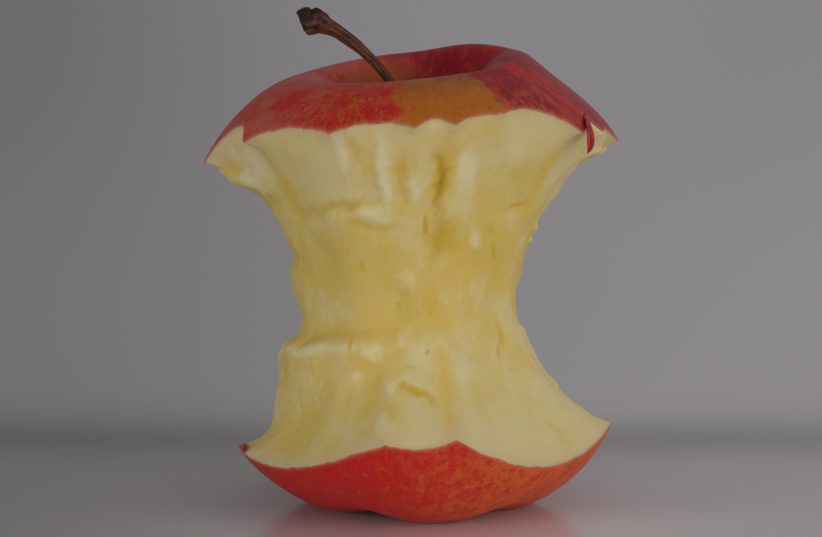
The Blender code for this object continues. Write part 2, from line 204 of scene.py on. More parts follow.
# Small marks of the teeth: (azimuth, height, half width, half height, lean of its long side in degrees,
# depth, how much juicy amber and painted shade darken it). A mark with a negative depth stands proud and is
# pale, partly painted highlight. In mm.
MARKS = (
    # grooves and ridges of the upper bites
    (-122, 49.2, 7.4, 1.0, -8, 0.5, 0.55),
    (-140, 47.4, 4.0, 1.1, -6, 0.5, 0.35),
    (-122, 60.0, 0.8, 2.2, 0, 0.4, 0.30),
    (-116, 57.8, 1.3, 4.2, 2, -0.3, 0.90),
    (-111, 59.2, 1.4, 2.6, 0, 0.4, 0.50),
    (-163, 54.5, 9.0, 3.5, 0, -0.05, 0.75),
    (-102, 57.5, 1.2, 4.5, 0, -0.3, 0.90),
    (-102, 52.3, 1.3, 2.8, -4, -0.5, 0.75),
    (-96, 54.0, 1.1, 5.5, 5, 0.5, 0.38),
    (-91, 52.0, 1.0, 2.2, 0, -0.4, 0.55),
    (-84, 57.6, 1.3, 2.6, 8, 0.3, 0.25),
    (-81, 53.0, 2.4, 6.4, 5, 0.6, 0.50),
    (-82, 53.4, 1.1, 5.2, 5, 1.1, 0.75),
    (-71, 54.6, 2.0, 4.4, 0, -0.4, 0.75),
    (-83, 48.1, 0.4, 0.4, 0, 0.2, 0.60),
    (-42, 48.3, 3.4, 1.0, -6, 0.2, 0.30),
    (-41, 48.7, 2.7, 0.32, -6, 0.12, 0.95),
    (-52, 57.5, 3.0, 3.5, 0, -0.3, 0.50),
    (-34, 52.7, 1.4, 3.6, 0, 0.3, 0.25),
    # the waist
    (-108, 48.8, 3.0, 2.0, 10, -0.40, 0.60),
    (-110, 46.2, 3.8, 0.9, 4, 0.30, 0.40),
    (-80, 44.4, 3.4, 3.9, 0, 0.9, 0.75),
    (-87, 46.3, 0.5, 1.9, -3, 0.5, 0.90),
    (-56, 45.4, 1.9, 1.1, 0, 0.15, 0.50),
    (-51, 42.0, 0.45, 2.2, -28, 0.12, 0.95),
    (-64, 44.0, 1.4, 2.2, 0, -0.4, 0.60),
    (-122, 42.0, 0.7, 0.6, 0, 0.1, 0.50),
    (-116, 40.0, 0.8, 1.3, 10, 0.1, 0.50),
    (-155, 39.4, 0.5, 0.7, 0, 0.3, 0.55),
    (-96, 38.5, 2.4, 2.0, 0, -0.3, 0.55),
    (-99, 33.8, 1.0, 3.0, 8, 0.4, 0.28),
    (-84, 34.5, 2.4, 4.6, 0, 0.4, 0.45),
    (-94, 32.0, 3.0, 3.0, 0, 0.1, 0.35),
    (-56, 35.0, 2.6, 4.4, 0, -0.3, 0.45),
    (-42, 30.6, 1.4, 1.8, 0, 0.2, 0.40),
    (-42, 28.4, 0.8, 1.9, 20, 0.15, 0.70),
    (-46, 25.8, 0.5, 1.3, 10, 0.4, 0.40),
    # nubs and nicks on the sides
    (-4, 56.2, 4.4, 1.4, 0, -3.2, 0.00),
    (-2, 53.4, 4.0, 1.2, 0, -0.5, 0.00),
    (-2, 49.6, 5.0, 3.8, 0, -1.2, 0.00),
    (0, 46.8, 4.0, 1.2, 0, -0.5, 0.00),
    (0, 38.0, 4.0, 3.0, 0, -0.7, 0.00),
    (0, 24.0, 5.0, 4.0, 0, -0.8, 0.00),
    (-10, 16.0, 6.0, 1.8, 0, -0.5, 0.00),
    (-8, 19.2, 2.0, 0.7, 0, -0.8, 0.00),
    (-6, 27.0, 4.0, 2.0, 0, -0.5, 0.00),
    (178, 51.4, 8.0, 2.3, 0, -3.2, 0.00),
    (178, 46.8, 8.0, 2.0, 0, -0.5, 0.00),
    (178, 40.0, 7.0, 2.8, 0, 1.6, 0.00),
    (-175, 17.2, 7.0, 4.6, 0, -0.9, 0.00),
    (-15, 44.4, 0.9, 0.9, 0, -0.8, 0.00),
    (-12, 42.2, 0.8, 0.9, 0, -0.7, 0.00),
    (-176, 40.6, 1.0, 0.4, 0, -0.6, 0.00),
    (-176, 39.6, 1.2, 0.4, 0, 0.5, 0.00),
    (-179, 25.8, 2.5, 1.2, 0, 0.5, 0.00),
    (-2, 19.4, 0.9, 0.7, 20, -0.6, 0.00),
    # facets and pits below the ledge
    (-109, 27.2, 2.3, 2.4, -8, -0.45, 0.70),
    (-98, 29.6, 1.8, 1.6, 0, -0.25, 0.50),
    (-117, 23.7, 2.0, 1.3, 0, -0.4, 0.60),
    (-99, 22.8, 2.0, 1.9, -12, -0.5, 0.75),
    (-100, 17.8, 1.8, 2.0, 0, -0.4, 0.80),
    (-120, 28.2, 0.40, 1.6, 0, 0.12, 0.75),
    (-93, 25.3, 1.8, 0.7, 18, 0.15, 0.35),
    (-86, 27.4, 0.4, 0.4, 0, 0.4, 0.75),
    (-96, 22.7, 1.3, 1.1, 0, 0.3, 0.75),
    (-90, 21.8, 3.0, 0.9, 27, 0.5, 0.85),
    (-118, 20.1, 0.6, 0.6, 0, 0.2, 0.35),
    (-70, 24.5, 2.4, 3.0, 0, -0.3, 0.50),
    # the far sides
    (18, 46.0, 4.5, 0.7, 8, 0.8, 0.60),
    (34, 41.0, 0.6, 3.0, -16, 0.7, 0.75),
    (52, 47.5, 6.0, 0.8, -5, 0.9, 0.55),
    (60, 56.0, 1.3, 4.0, 4, 0.7, 0.45),
    (75, 54.0, 1.3, 5.0, -3, -0.7, 0.90),
    (84, 38.0, 3.4, 3.4, 0, 0.9, 0.50),
    (92, 55.0, 1.2, 4.5, 6, 0.7, 0.45),
    (103, 44.5, 3.6, 1.4, 12, -0.9, 1.00),
    (120, 46.0, 6.5, 0.8, 4, 0.9, 0.55),
    (150, 42.0, 0.6, 3.0, 14, 0.7, 0.75),
    (170, 46.0, 4.0, 0.8, -6, 0.8, 0.50),
    (44, 27.0, 3.0, 2.0, 10, -0.7, 1.00),
    (70, 21.0, 2.2, 1.7, -24, 1.2, 0.75),
    (98, 26.0, 0.5, 2.4, 0, 0.9, 0.85),
    (108, 27.0, 3.0, 2.2, 8, -0.8, 1.00),
    (132, 19.5, 2.0, 1.5, 20, 1.1, 0.70),
)
MARK_FALL = 1.3  # how steeply a mark falls off, and how flat its middle is
MARK_FLATNESS = 1.1
STRAY = 0.55  # how far torn outlines wander, as a share of a mark's smaller half
LARGEST_STRAYING = 1.4  # mm, the half that counts for larger marks
# Small brown flecks: (azimuth, height, half width, half height) in mm.
BRUISES = (
    (-31.5, 21.4, 0.13, 0.32),
    (-5.0, 55.7, 0.7, 0.4),
)

FLESH_CREAM = (0.82, 0.70, 0.35, 1.0)
FLESH_YELLOW = (0.80, 0.590, 0.140, 1.0)
# amber of the grooves and pits, partly juicy flesh and partly painted shade
FLESH_AMBER = (0.76, 0.50, 0.040, 1.0)
FLESH_WHITE = (0.86, 0.775, 0.47, 1.0)
FLESH_PINK = (0.82, 0.56, 0.31, 1.0)
FLESH_BRUISE = (0.22, 0.09, 0.02, 1.0)
FLESH_SHADOW = (0.84, 0.76, 0.52, 1.0)


class Wire:
    """One socket of a node tree, which can be used like a number."""

    def __init__(self, tree, socket=None):
        self.tree = tree
        self.socket = socket

    def node(self, kind, settings=None, values=None, output=0):
        """Adds a node: its type, its settings, and the values or links of its sockets."""
        made = self.tree.nodes.new(kind)
        for name, value in (settings or {}).items():
            setattr(made, name, value)
        for place, value in (values or {}).items():
            if isinstance(value, Wire):
                self.tree.links.new(value.socket, made.inputs[place])
            else:
                made.inputs[place].default_value = value
        return Wire(self.tree, made.outputs[output])

    def output(self, place):
        """Another output of the same node."""
        return Wire(self.tree, self.socket.node.outputs[place])

    def attribute(self, name):
        """The number of that name kept on the mesh."""
        if self.tree.bl_idname == "GeometryNodeTree":
            return self.node("GeometryNodeInputNamedAttribute", {"data_type": "FLOAT"}, {"Name": name})
        return self.node("ShaderNodeAttribute", {"attribute_name": name}, output=2)

    def keep(self, name, value):
        """This shape, with a number of that name kept on it."""
        values = {0: self, "Name": name, "Value": value}
        return self.node("GeometryNodeStoreNamedAttribute", {}, values)

    def split(self):
        """The three coordinates of a vector."""
        x = self.node("ShaderNodeSeparateXYZ", {}, {0: self})
        return x, x.output(1), x.output(2)

    def vector(self, x, y, z):
        return self.node("ShaderNodeCombineXYZ", {}, {0: x, 1: y, 2: z})

    def noise(self, scale, detail):
        """Noise from 0 to 1 at the place that this vector gives."""
        return self.node("ShaderNodeTexNoise", {}, {"Vector": self, "Scale": scale, "Detail": detail})

    def bump(self, strength, depth):
        """The surface's normal, bent by this height."""
        values = {"Strength": strength, "Distance": depth, "Height": self}
        return self.node("ShaderNodeBump", {}, values)

    def math(self, operation, *others):
        return self.node("ShaderNodeMath", {"operation": operation}, dict(enumerate((self, *others))))

    def after(self, operation, first):
        return self.node("ShaderNodeMath", {"operation": operation}, {0: first, 1: self})

    def smooth(self, low, high):
        """0 below low, 1 above high, and smooth between them."""
        settings = {"interpolation_type": "SMOOTHSTEP"}
        return self.node("ShaderNodeMapRange", settings, {0: self, 1: low, 2: high})

    def mix(self, first, second, blend="MIX"):
        """The first colour at 0 and the second, or the two multiplied, at 1."""
        settings = {"data_type": "RGBA", "blend_type": blend}
        return self.node("ShaderNodeMix", settings, {0: self, 6: first, 7: second}, 2)

    def __add__(self, other):
        return self.math("ADD", other)

    def __radd__(self, other):
        return self.math("ADD", other)

    def __sub__(self, other):
        return self.math("SUBTRACT", other)

    def __rsub__(self, other):
        return self.after("SUBTRACT", other)

    def __mul__(self, other):
        return self.math("MULTIPLY", other)

    def __rmul__(self, other):
        return self.math("MULTIPLY", other)

    def __truediv__(self, other):
        return self.math("DIVIDE", other)

    def __rtruediv__(self, other):
        return self.after("DIVIDE", other)

    def __pow__(self, other):
        return self.math("POWER", other)


ON_ARRAYS = {
    "COSINE": np.cos,
    "SINE": np.sin,
    "EXPONENT": np.exp,
    "ABSOLUTE": np.abs,
    "MINIMUM": np.minimum,
    "MAXIMUM": np.maximum,
}


def worked(operation, first, *others):
    """One step of maths, on a node's socket or on an array of numbers."""
    if isinstance(first, Wire):
        return first.math(operation, *others)
    return ON_ARRAYS[operation](first, *others)


def fruit_surface(azimuth, latitude, size):
    """A point of the whole fruit's skin, for angles in radians: the latitude is 0 at the girth."""
    power = 2.0 / size["Roundness"]
    across = worked("COSINE", azimuth)
    flat = size["Girth radius"] * worked("ABSOLUTE", worked("COSINE", latitude)) ** power
    share = worked("ABSOLUTE", worked("SINE", latitude)) ** power
    turn = (azimuth - size["Lobe azimuth"] * (math.pi / 180.0)) * (LOBES / 2.0)
    crossing = worked("COSINE", turn)
    lobe = (crossing * crossing + GROOVE_SOFTNESS) ** (LOBE_SHARPNESS / 2.0) * 2.0 - 1.0
    ease = worked("MINIMUM", share / TAPER_REACH, 1.0)
    taper = (size["Taper"] + size["Shift"] * across) * ease * ease * (3.0 - 2.0 * ease)
    radius = flat * (1.0 + size["Lobe swell"] * lobe * share) * (1.0 - taper)
    x = radius * across
    y = radius * worked("SINE", azimuth)
    off_crest = (flat - size["Lobe radius"]) / size["Lobe width"]
    crest = size["Lobe height"] * lobe * worked("EXPONENT", -1.0 * off_crest * off_crest)
    rim = worked("MINIMUM", flat / size["Hollow radius"], 1.0)
    hollow = (1.0 - rim * rim) ** 2.0
    fade = worked("EXPONENT", -1.0 * (flat / size["Lean reach"]) ** 4.0)
    height = size["Girth height"] + size["Reach"] * share + crest - size["Hollow depth"] * hollow
    height = height + fade * (size["Lean X"] * x + size["Lean Y"] * y)
    return x, y, worked("MAXIMUM", height, 0.0)


def between(azimuth, table):
    """For each azimuth, the rows of a table on either side of it and the share of the way between."""
    table = np.array(table, float)
    turned = (azimuth - table[0, 0]) % 360.0 + table[0, 0]
    k = np.searchsorted(table[:, 0], turned, side="right") - 1
    row = table[k]
    following = table[(k + 1) % len(table)]
    span = (following[:, 0] - row[:, 0]) % 360.0
    return row, following, (turned - row[:, 0]) / span


def eased(x):
    """0 below 0, 1 above 1, and smooth between them."""
    x = np.clip(x, 0.0, 1.0)
    return x * x * (3.0 - 2.0 * x)


def skin_edge(azimuth, corners):
    """Height of the torn edge of the skin."""
    row, following, share = between(azimuth, corners)
    chord = row[:, 1] + (following[:, 1] - row[:, 1]) * share
    arc = chord + row[:, 2] * 4.0 * share * (1.0 - share)
    turn = np.radians(azimuth)
    seed = corners[0][1]
    wander = [
        sum(
            strong * noise.noise((many * math.cos(a), many * math.sin(a), seed))
            for many, strong in EDGE_WAVES
        )
        for a in turn
    ]
    return (arc + EDGE_WANDER * np.array(wander)) * MM


def rim(azimuth, height, size):
    """Latitude in radians and radius at which the fruit's surface passes a height, for each azimuth."""
    sign = math.copysign(1.0, size["Reach"])
    latitude = np.zeros(len(azimuth))
    radius = np.zeros(len(azimuth))
    for i, (turn, level) in enumerate(zip(np.radians(azimuth), height)):
        x, y, z = fruit_surface(turn, RIM_LATITUDES, size)
        latitude[i] = np.interp(sign * level, sign * z, RIM_LATITUDES)
        radius[i] = np.interp(sign * level, sign * z, np.hypot(x, y))
    return latitude, radius


def band_mesh(name, points, low_pole=None, high_pole=None):
    """A mesh of rings of points, (rows, columns, 3), with a point closing each end that has a pole."""
    rows, columns = points.shape[:2]
    vertices = [tuple(p) for p in points.reshape(-1, 3)]
    ring = np.arange(columns)
    after = (ring + 1) % columns
    faces = []
    for row in range(rows - 1):
        low = row * columns
        high = low + columns
        faces += np.stack((low + ring, low + after, high + after, high + ring), 1).tolist()
    if low_pole is not None:
        faces += [(len(vertices), b, a) for a, b in zip(ring.tolist(), after.tolist())]
        vertices.append(tuple(low_pole))
    if high_pole is not None:
        last = (rows - 1) * columns
        faces += [(last + a, last + b, len(vertices)) for a, b in zip(ring.tolist(), after.tolist())]
        vertices.append(tuple(high_pole))
    mesh = bpy.data.meshes.new(name)
    mesh.from_pydata(vertices, [], faces)
    mesh.shade_smooth()
    return mesh


def set_attribute(mesh, name, values):
    """A number for each point of a mesh. Poles past the end of the values get the last one."""
    full = np.full(len(mesh.vertices), values.reshape(-1)[-1], np.float32)
    full[: values.size] = values.reshape(-1)
    mesh.attributes.new(name, "FLOAT", "POINT").data.foreach_set("value", full)


def new_piece(name, data, material=None):
    made = bpy.data.objects.new(name, data)
    bpy.context.scene.collection.objects.link(made)
    if material is not None:
        data.materials.append(material)
    return made


def grains(points, size, seed, stretch=1.0):
    """Smooth noise from -1 to 1 at each point, drawn out upwards by the stretch."""
    scaled = points / size
    scaled[:, 2] /= stretch
    scaled += seed
    return np.array([noise.noise(p) for p in scaled])


def evened(values, reach):
    """Values around the flesh, each averaged with those beside it."""
    return sum(np.roll(values, k, axis=-1) for k in range(-reach, reach + 1)) / (2 * reach + 1)


def blurred(values, reach):
    """Values on the grid, each averaged with its neighbours in a square."""
    padded = np.pad(evened(values, reach), ((reach, reach), (0, 0)), mode="edge")
    rows = len(values)
    return sum(padded[k : k + rows] for k in range(2 * reach + 1)) / (2 * reach + 1)


def degrees_off(azimuth, middle):
    """How far azimuths are from a middle one, the short way round."""
    return (azimuth - middle + 180.0) % 360.0 - 180.0


def bite_depth(azimuth, height):
    """The depth of the broad bites at each point, in mm: the deepest, with soft ridges between them."""
    total = np.ones_like(height)
    for middle, level, half_width, half_height, depth in BITES:
        sideways = degrees_off(azimuth, middle) / half_width
        upwards = (height - level) / half_height
        total += np.exp(depth * (1.0 - sideways**2 - upwards**2) / BITE_BLEND)
    return BITE_BLEND * np.log(total)


def spot_at(azimuth, height, radius, spot, lean, stray=None):
    """Squared distance from the middle of a mark, 1 at its outline, whose stray bends it."""
    middle, level, half_width, half_height = spot
    sideways = np.radians(degrees_off(azimuth, middle)) * radius
    upwards = height - level
    if stray is not None:
        bend = STRAY * min(half_width, half_height, LARGEST_STRAYING)
        sideways = sideways + bend * stray[0]
        upwards = upwards + bend * stray[1]
    tilt = math.radians(lean)
    along = (sideways * math.cos(tilt) - upwards * math.sin(tilt)) / half_width
    up = (sideways * math.sin(tilt) + upwards * math.cos(tilt)) / half_height
    return along**2 + up**2


def tooth_marks(azimuth, height, radius, stray):
    """Depth in mm, juicy amber with painted shade, and paleness from the small marks, at each point."""
    depth = np.zeros_like(height)
    juice_and_shade = np.zeros_like(height)
    pale = np.zeros_like(height)
    for *spot, lean, deep, strength in MARKS:
        off = spot_at(azimuth, height, radius, spot, lean, stray)
        share = np.exp(-MARK_FALL * off**MARK_FLATNESS)
        depth += deep * share
        if deep > 0.0:
            juice_and_shade = np.maximum(juice_and_shade, strength * share)
        else:
            pale = np.maximum(pale, strength * share)
    return depth, juice_and_shade, pale


def hidden_flesh(azimuth, latitude, size):
    """Rings of the flesh under the skin, from its rim to the pole, and the pole itself."""
    inward = math.copysign(1.0, size["Reach"])
    rings = []
    for share in np.linspace(0.0, 1.0, HIDDEN_ROWS + 1)[1:]:
        turned = latitude + (HIDDEN_POLE - latitude) * share**HIDDEN_CROWDING
        x, y, z = fruit_surface(np.radians(azimuth), turned, size)
        far = np.hypot(x, y)
        shrink = 1.0 - FLESH_INSET * eased((far - INSET_START) / INSET_EASE) / far
        drop = FLESH_DROP + HOLLOW_DROP * eased((DROP_START - far) / DROP_EASE)
        rings.append(np.stack((x * shrink, y * shrink, np.maximum(z - inward * drop, FLESH_DROP)), 1))
    pole = rings[-1].mean(0)
    return rings[:-1], pole


def make_flesh():
    """The bitten wall between the two edges of the skin, and the flesh hidden under the skin."""
    azimuth = np.linspace(-180.0, 180.0, FLESH_COLUMNS, endpoint=False)
    top = skin_edge(azimuth, UPPER_CORNERS)
    middle, half_width, free = FREE_TIP
    off_tip = degrees_off(azimuth, middle) / half_width
    bottom = skin_edge(azimuth, LOWER_CORNERS) - free * MM * np.clip(1.0 - off_tip**2, 0.0, 1.0)
    top_latitude, top_radius = rim(azimuth, top, UPPER_HALF)
    bottom_latitude, bottom_radius = rim(azimuth, bottom, LOWER_HALF)
    top_radius = (top_radius - SKIN) / MM
    bottom_radius = (bottom_radius - SKIN) / MM

    row, following, share = between(azimuth, WAIST)
    stations = row[:, 1:] + (following[:, 1:] - row[:, 1:]) * eased(share)[:, None]
    radius, level, late_up, late_down, ledge, ledge_height = stations.T

    # the plain wall: from the waist it flares to the evened edges, and close to the skin to its own edge
    up = np.linspace(0.0, 1.0, FLESH_ROWS)[:, None]
    height = (bottom + (top - bottom) * up) / MM
    above = np.clip((height - level) / (top / MM - level), 0.0, 1.0)
    below = np.clip((level - height) / (level - bottom / MM), 0.0, 1.0)
    nearness = np.maximum(above, below)  # 1 at the skin
    calm = 1.0 - nearness**6
    upper_share = np.maximum((height - level) / (evened(top, EVEN_REACH) / MM - level), 0.0)
    lower_share = np.maximum((level - height) / (level - evened(bottom, EVEN_REACH) / MM), 0.0)
    far = radius + (evened(top_radius, EVEN_REACH) - radius) * upper_share**late_up
    far = far + (evened(bottom_radius, EVEN_REACH) - radius) * lower_share**late_down
    to_top = top / MM - height
    to_bottom = height - bottom / MM
    for offset, away in ((top_radius - far[-1], to_top), (bottom_radius - far[0], to_bottom)):
        soft = evened(offset, SOFT_REACH)
        far = far + soft * np.exp(-((away / EDGE_REACH) ** 2))
        far = far + (offset - soft) * np.exp(-((away / WANDER_REACH) ** 2))

    # the bites
    ragged = np.array([RAGGED * noise.noise((0.16 * a, 3.1, 0.0)) for a in azimuth])
    ledge = ledge * eased((ledge_height + ragged - height) / LEDGE_SLOPE) * (1.0 - below**4)
    around = np.broadcast_to(azimuth, height.shape)
    bites = bite_depth(around, height) * (1.0 - nearness**4)
    far = far + evened(ledge - bites, SOFT_REACH)

    # the torn surface: rolls, creases, fibres and grain, strongest on the sides and the back
    turn = np.radians(around)
    wall = np.stack((far * np.cos(turn), far * np.sin(turn), height), 2).reshape(-1, 3)

    def noise_at(size, seed, stretch=1.0):
        return grains(wall, size, seed, stretch).reshape(height.shape)

    broad = noise_at(7.5, 11.3)
    rolls = noise_at(3.2, 4.7, 1.3)
    small = noise_at(1.5, 17.1)
    fibres = noise_at(0.8, 2.9, 4.0)
    grain = noise_at(0.75, 7.7)
    stray = (1.1 * rolls + 0.8 * small, 1.1 * noise_at(3.2, 31.9) + 0.8 * noise_at(1.5, 23.3))
    depth, juice_and_shade, pale = tooth_marks(around, height, far, stray)
    torn = np.maximum(eased((np.abs(np.cos(turn)) - 0.5) / 0.4), 0.7 * eased(around / 20.0))
    fibrous = eased((-116.0 - around) / 22.0) * eased((27.0 - height) / 3.0)
    creases = 0.5 - np.abs(small) * 2.0
    relief = (
        0.30 * broad
        + (0.12 + 0.14 * torn * (1.0 - nearness**3)) * rolls
        - (0.02 + 0.10 * torn * (1.0 - nearness**2)) * creases
        + (0.02 + 0.05 * fibrous) * fibres
        + (0.02 + 0.12 * fibrous + 0.03 * torn) * grain
    )
    far = far + calm * relief - (1.0 - nearness**12) * depth
    bitten = np.stack((far * np.cos(turn), far * np.sin(turn), height), 2) * MM

    upper, upper_pole = hidden_flesh(azimuth, top_latitude, UPPER_HALF)
    lower, lower_pole = hidden_flesh(azimuth, bottom_latitude, LOWER_HALF)
    points = np.concatenate((np.array(lower[::-1]), bitten, np.array(upper)))
    mesh = band_mesh("flesh", points, lower_pole, upper_pole)
    mesh.transform(Matrix.Translation((AXIS_X, AXIS_Y, 0.0)))

    # what its colours follow: yellow in the core and the hollows, pale where it stands proud; the yellow of
    # the hollows is partly painted shade and the pale of the ridges partly painted highlight
    # painted shade and light, partly the flesh's own colour: yellower below the softened surface, pale
    # above it
    proud = far - blurred(far, SOFT_REACH)
    middle = np.exp(-(((height - 41.0 - 3.0 * broad) / 12.0) ** 2))
    sallow = eased((-90.0 - around) / 28.0) * eased((34.0 - height) / 6.0)
    golden = eased((around + 104.0) / 16.0) * eased((-54.0 - around) / 22.0) * eased((height - 46.0) / 10.0)
    yellow = 0.18 + 0.45 * sallow + 0.30 * golden + 0.62 * middle
    yellow = yellow + 0.42 * broad + 0.20 * noise_at(4.0, 51.2) - 0.6 * proud
    to_skin = np.minimum(to_top, to_bottom)
    looks = {
        "juice_and_shade": juice_and_shade,
        "pale": np.clip(pale + 0.6 * proud, 0.0, 1.0),
        "yellow": yellow,
        "blush": np.exp(-np.maximum(to_skin, 0.0) / (1.5 + 0.5 * broad)),
        "bruise": sum(np.exp(-spot_at(around, height, far, fleck, 0.0)) for fleck in BRUISES),
    }
    hidden = np.zeros((len(lower), FLESH_COLUMNS))
    for name, values in looks.items():
        set_attribute(mesh, name, np.concatenate((hidden, values)))
    return mesh


def new_material(name):
    """A material without nodes, and a wire that gives the place on the object."""
    made = bpy.data.materials.new(name)
    made.use_nodes = True
    made.node_tree.nodes.clear()
    return made, Wire(made.node_tree).node("ShaderNodeTexCoord", output=3)


def finish_material(made, looks):
    """Ends a material in one surface, with the values or wires of its sockets."""
    surface = Wire(made.node_tree).node("ShaderNodeBsdfPrincipled", {}, looks)
    end = made.node_tree.nodes.new("ShaderNodeOutputMaterial")
    made.node_tree.links.new(surface.socket, end.inputs[0])
    return made


def flesh_material():
    """Moist apple flesh: cream, yellow near the core, amber in the creases from juiciness and painted
    shade, pinkish next to the skin.
    """
    made, place = new_material("bitten flesh")

    def mottle(scale, detail, stretch):
        """Noise drawn out upwards by the stretch."""
        spread = {0: place, 1: (1.0, 1.0, 1.0 / stretch)}
        return place.node("ShaderNodeVectorMath", {"operation": "MULTIPLY"}, spread).noise(scale, detail)

    patch = mottle(420.0, 3.0, 2.0)
    fine = mottle(1400.0, 3.0, 1.6)
    fibre = mottle(2600.0, 2.0, 5.0)
    yellow = place.attribute("yellow") + (patch - 0.5) * 0.7 + (fine - 0.5) * 0.5
    pale = place.attribute("pale") * 0.85 + (patch - 0.5) * 0.8
    juice_and_shade = place.attribute("juice_and_shade") * (0.7 + fine * 0.6)
    blush = place.attribute("blush") * (0.45 + fine * 0.3)
    colour = yellow.smooth(0.0, 0.95).mix(FLESH_CREAM, FLESH_YELLOW)
    colour = pale.smooth(0.05, 1.0).mix(colour, FLESH_WHITE)
    # amber in the grooves and pits: partly juicy flesh, partly painted shade
    colour = juice_and_shade.smooth(0.02, 1.0).mix(colour, FLESH_AMBER)
    colour = blush.mix(colour, FLESH_PINK)
    colour = place.attribute("bruise").smooth(0.25, 0.6).mix(colour, FLESH_BRUISE)
    return finish_material(made, {
        "Base Color": (fibre.smooth(0.64, 0.36) * 0.06).mix(colour, FLESH_SHADOW, "MULTIPLY"),
        "Roughness": 0.42 + patch * 0.24,
        "Normal": (fine + fibre).bump(0.30, 0.15 * MM),
        "Subsurface Weight": 0.65,
        "Subsurface Radius": (1.0, 0.75, 0.32),
        "Subsurface Scale": 2.6 * MM,
        "IOR": 1.36,
    })


flesh = new_piece("flesh", make_flesh(), flesh_material())
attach(flesh, "root")
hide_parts("apple_core")


# --- Skin ----------------------------------------------------------------------------------------------
# The waxy red skin left on the cap and under the base, grown fast to the flesh, with its torn edge. It
# follows the fruit's own outline, with the stalk's hollow, the basin and the five lobes. A shred hangs
# loose from the cap, beside the wedge that was torn out with it.

SKIN_COLUMNS = 600
SKIN_ROWS = 64
SKIN_CROWDING = 1.35  # the rows lie closer together towards the torn edge
SKIN_POLE = 89.7  # degrees of latitude of the last row
TORN_REACH = 0.3 * MM  # over which the torn edge shows the flesh's colour
CREASE = 50.0  # degrees between faces that stay sharp
NOTCH = (-27.6, -23.6, -18.5, 2.2)  # azimuths and height in mm of the wedge torn out of the cap's skin

# The shred that hangs from the wedge: (azimuth, height, radius), in degrees and mm.
SHRED_ROOT = (-23.2, 62.8, 27.5)
SHRED_LEFT = (-32.9, 60.4, 30.1)
SHRED_RIGHT = (-29.2, 59.1, 30.4)
SHRED_TIP = (-31.8, 56.9, 29.9)
SHRED_FACING = -22.0  # azimuth to which it bulges, and by how much
SHRED_BULGE = 0.35 * MM
SHRED_ROWS = 14
SHRED_COLUMNS = 6

SKIN_RED = (0.58, 0.020, 0.018, 1.0)
SKIN_CRIMSON = (0.29, 0.006, 0.016, 1.0)
SKIN_BASE_RED = (0.72, 0.022, 0.020, 1.0)
SKIN_BASE_ORANGE = (0.86, 0.150, 0.034, 1.0)
SKIN_ORANGE = (0.52, 0.10, 0.02, 1.0)
SKIN_OLIVE = (0.54, 0.155, 0.004, 1.0)
SKIN_BROWN = (0.33, 0.10, 0.018, 1.0)
SKIN_YELLOW = (0.72, 0.30, 0.05, 1.0)
SKIN_RUSSET = (0.20, 0.10, 0.04, 1.0)
# pale hairlines, and the painted sheen on the -X side
SKIN_PALE_AND_SHEEN = (0.60, 0.20, 0.15, 1.0)
SKIN_DOT = (0.46, 0.22, 0.09, 1.0)
SKIN_SPOT = (0.13, 0.085, 0.03, 1.0)
SKIN_TORN = (0.76, 0.34, 0.18, 1.0)
SKIN_SHADOW = (0.55, 0.45, 0.45, 1.0)
# Dull round spots on the cap, and one fleck of red in the olive: (azimuth, height, radius) in mm.
SPOTS = (
    (-81.5, 67.9, 0.55),
    (-70.9, 68.3, 0.60),
    (-60.8, 65.4, 0.75),
    (-122.9, 65.0, 0.70),
    (-160.9, 60.4, 0.40),
)
RED_FLECK = (-99.4, 62.9, 0.8)


def new_node_tree(name, sizes):
    """A geometry tree with a named input for each size, and those inputs as wires."""
    tree = bpy.data.node_groups.new(name, "GeometryNodeTree")
    inputs = [("Geometry", "Geometry"), *((size, "Float") for size in sizes), ("Material", "Material")]
    for title, kind in inputs:
        tree.interface.new_socket(title, in_out="INPUT", socket_type="NodeSocket" + kind)
    tree.interface.new_socket("Geometry", in_out="OUTPUT", socket_type="NodeSocketGeometry")
    entry = tree.nodes.new("NodeGroupInput")
    return tree, {socket.name: Wire(tree, socket) for socket in entry.outputs if socket.name}


def finish_tree(tree, shape, material):
    """Ends a tree in a smooth, real mesh with its material."""
    smooth = shape.node("GeometryNodeSetShadeSmooth", {}, {0: shape})
    real = shape.node("GeometryNodeRealizeInstances", {}, {0: smooth})
    dressed = real.node("GeometryNodeSetMaterial", {}, {0: real, 2: material})
    tree.links.new(dressed.socket, tree.nodes.new("NodeGroupOutput").inputs[0])
    return tree


def evaluated_mesh(piece):
    """A plain mesh of a piece with its modifiers carried out."""
    evaluated = piece.evaluated_get(bpy.context.evaluated_depsgraph_get())
    return bpy.data.meshes.new_from_object(evaluated)


def grown(name, start, tree, sizes, material):
    """A plain mesh object made by a geometry tree from a starting mesh."""
    holder = new_piece(name + "_start", start)
    modifier = holder.modifiers.new("grow", "NODES")
    modifier.node_group = tree
    values = {**sizes, "Material": material}
    for socket in tree.interface.items_tree:
        if socket.in_out == "INPUT" and socket.name in values:
            modifier[socket.identifier] = values[socket.name]
    mesh = evaluated_mesh(holder)
    mesh.name = name
    bpy.data.objects.remove(holder)
    return new_piece(name, mesh)


def skin_tree():
    """Turns a band of azimuths and latitudes into the fruit's surface."""
    tree, size = new_node_tree("fruit skin", UPPER_HALF)
    band = size["Geometry"]
    x, y, z = fruit_surface(band.attribute("azimuth"), band.attribute("latitude"), size)
    values = {"Geometry": band, "Position": band.vector(x + AXIS_X, y + AXIS_Y, z)}
    return finish_tree(tree, band.node("GeometryNodeSetPosition", {}, values), size["Material"])


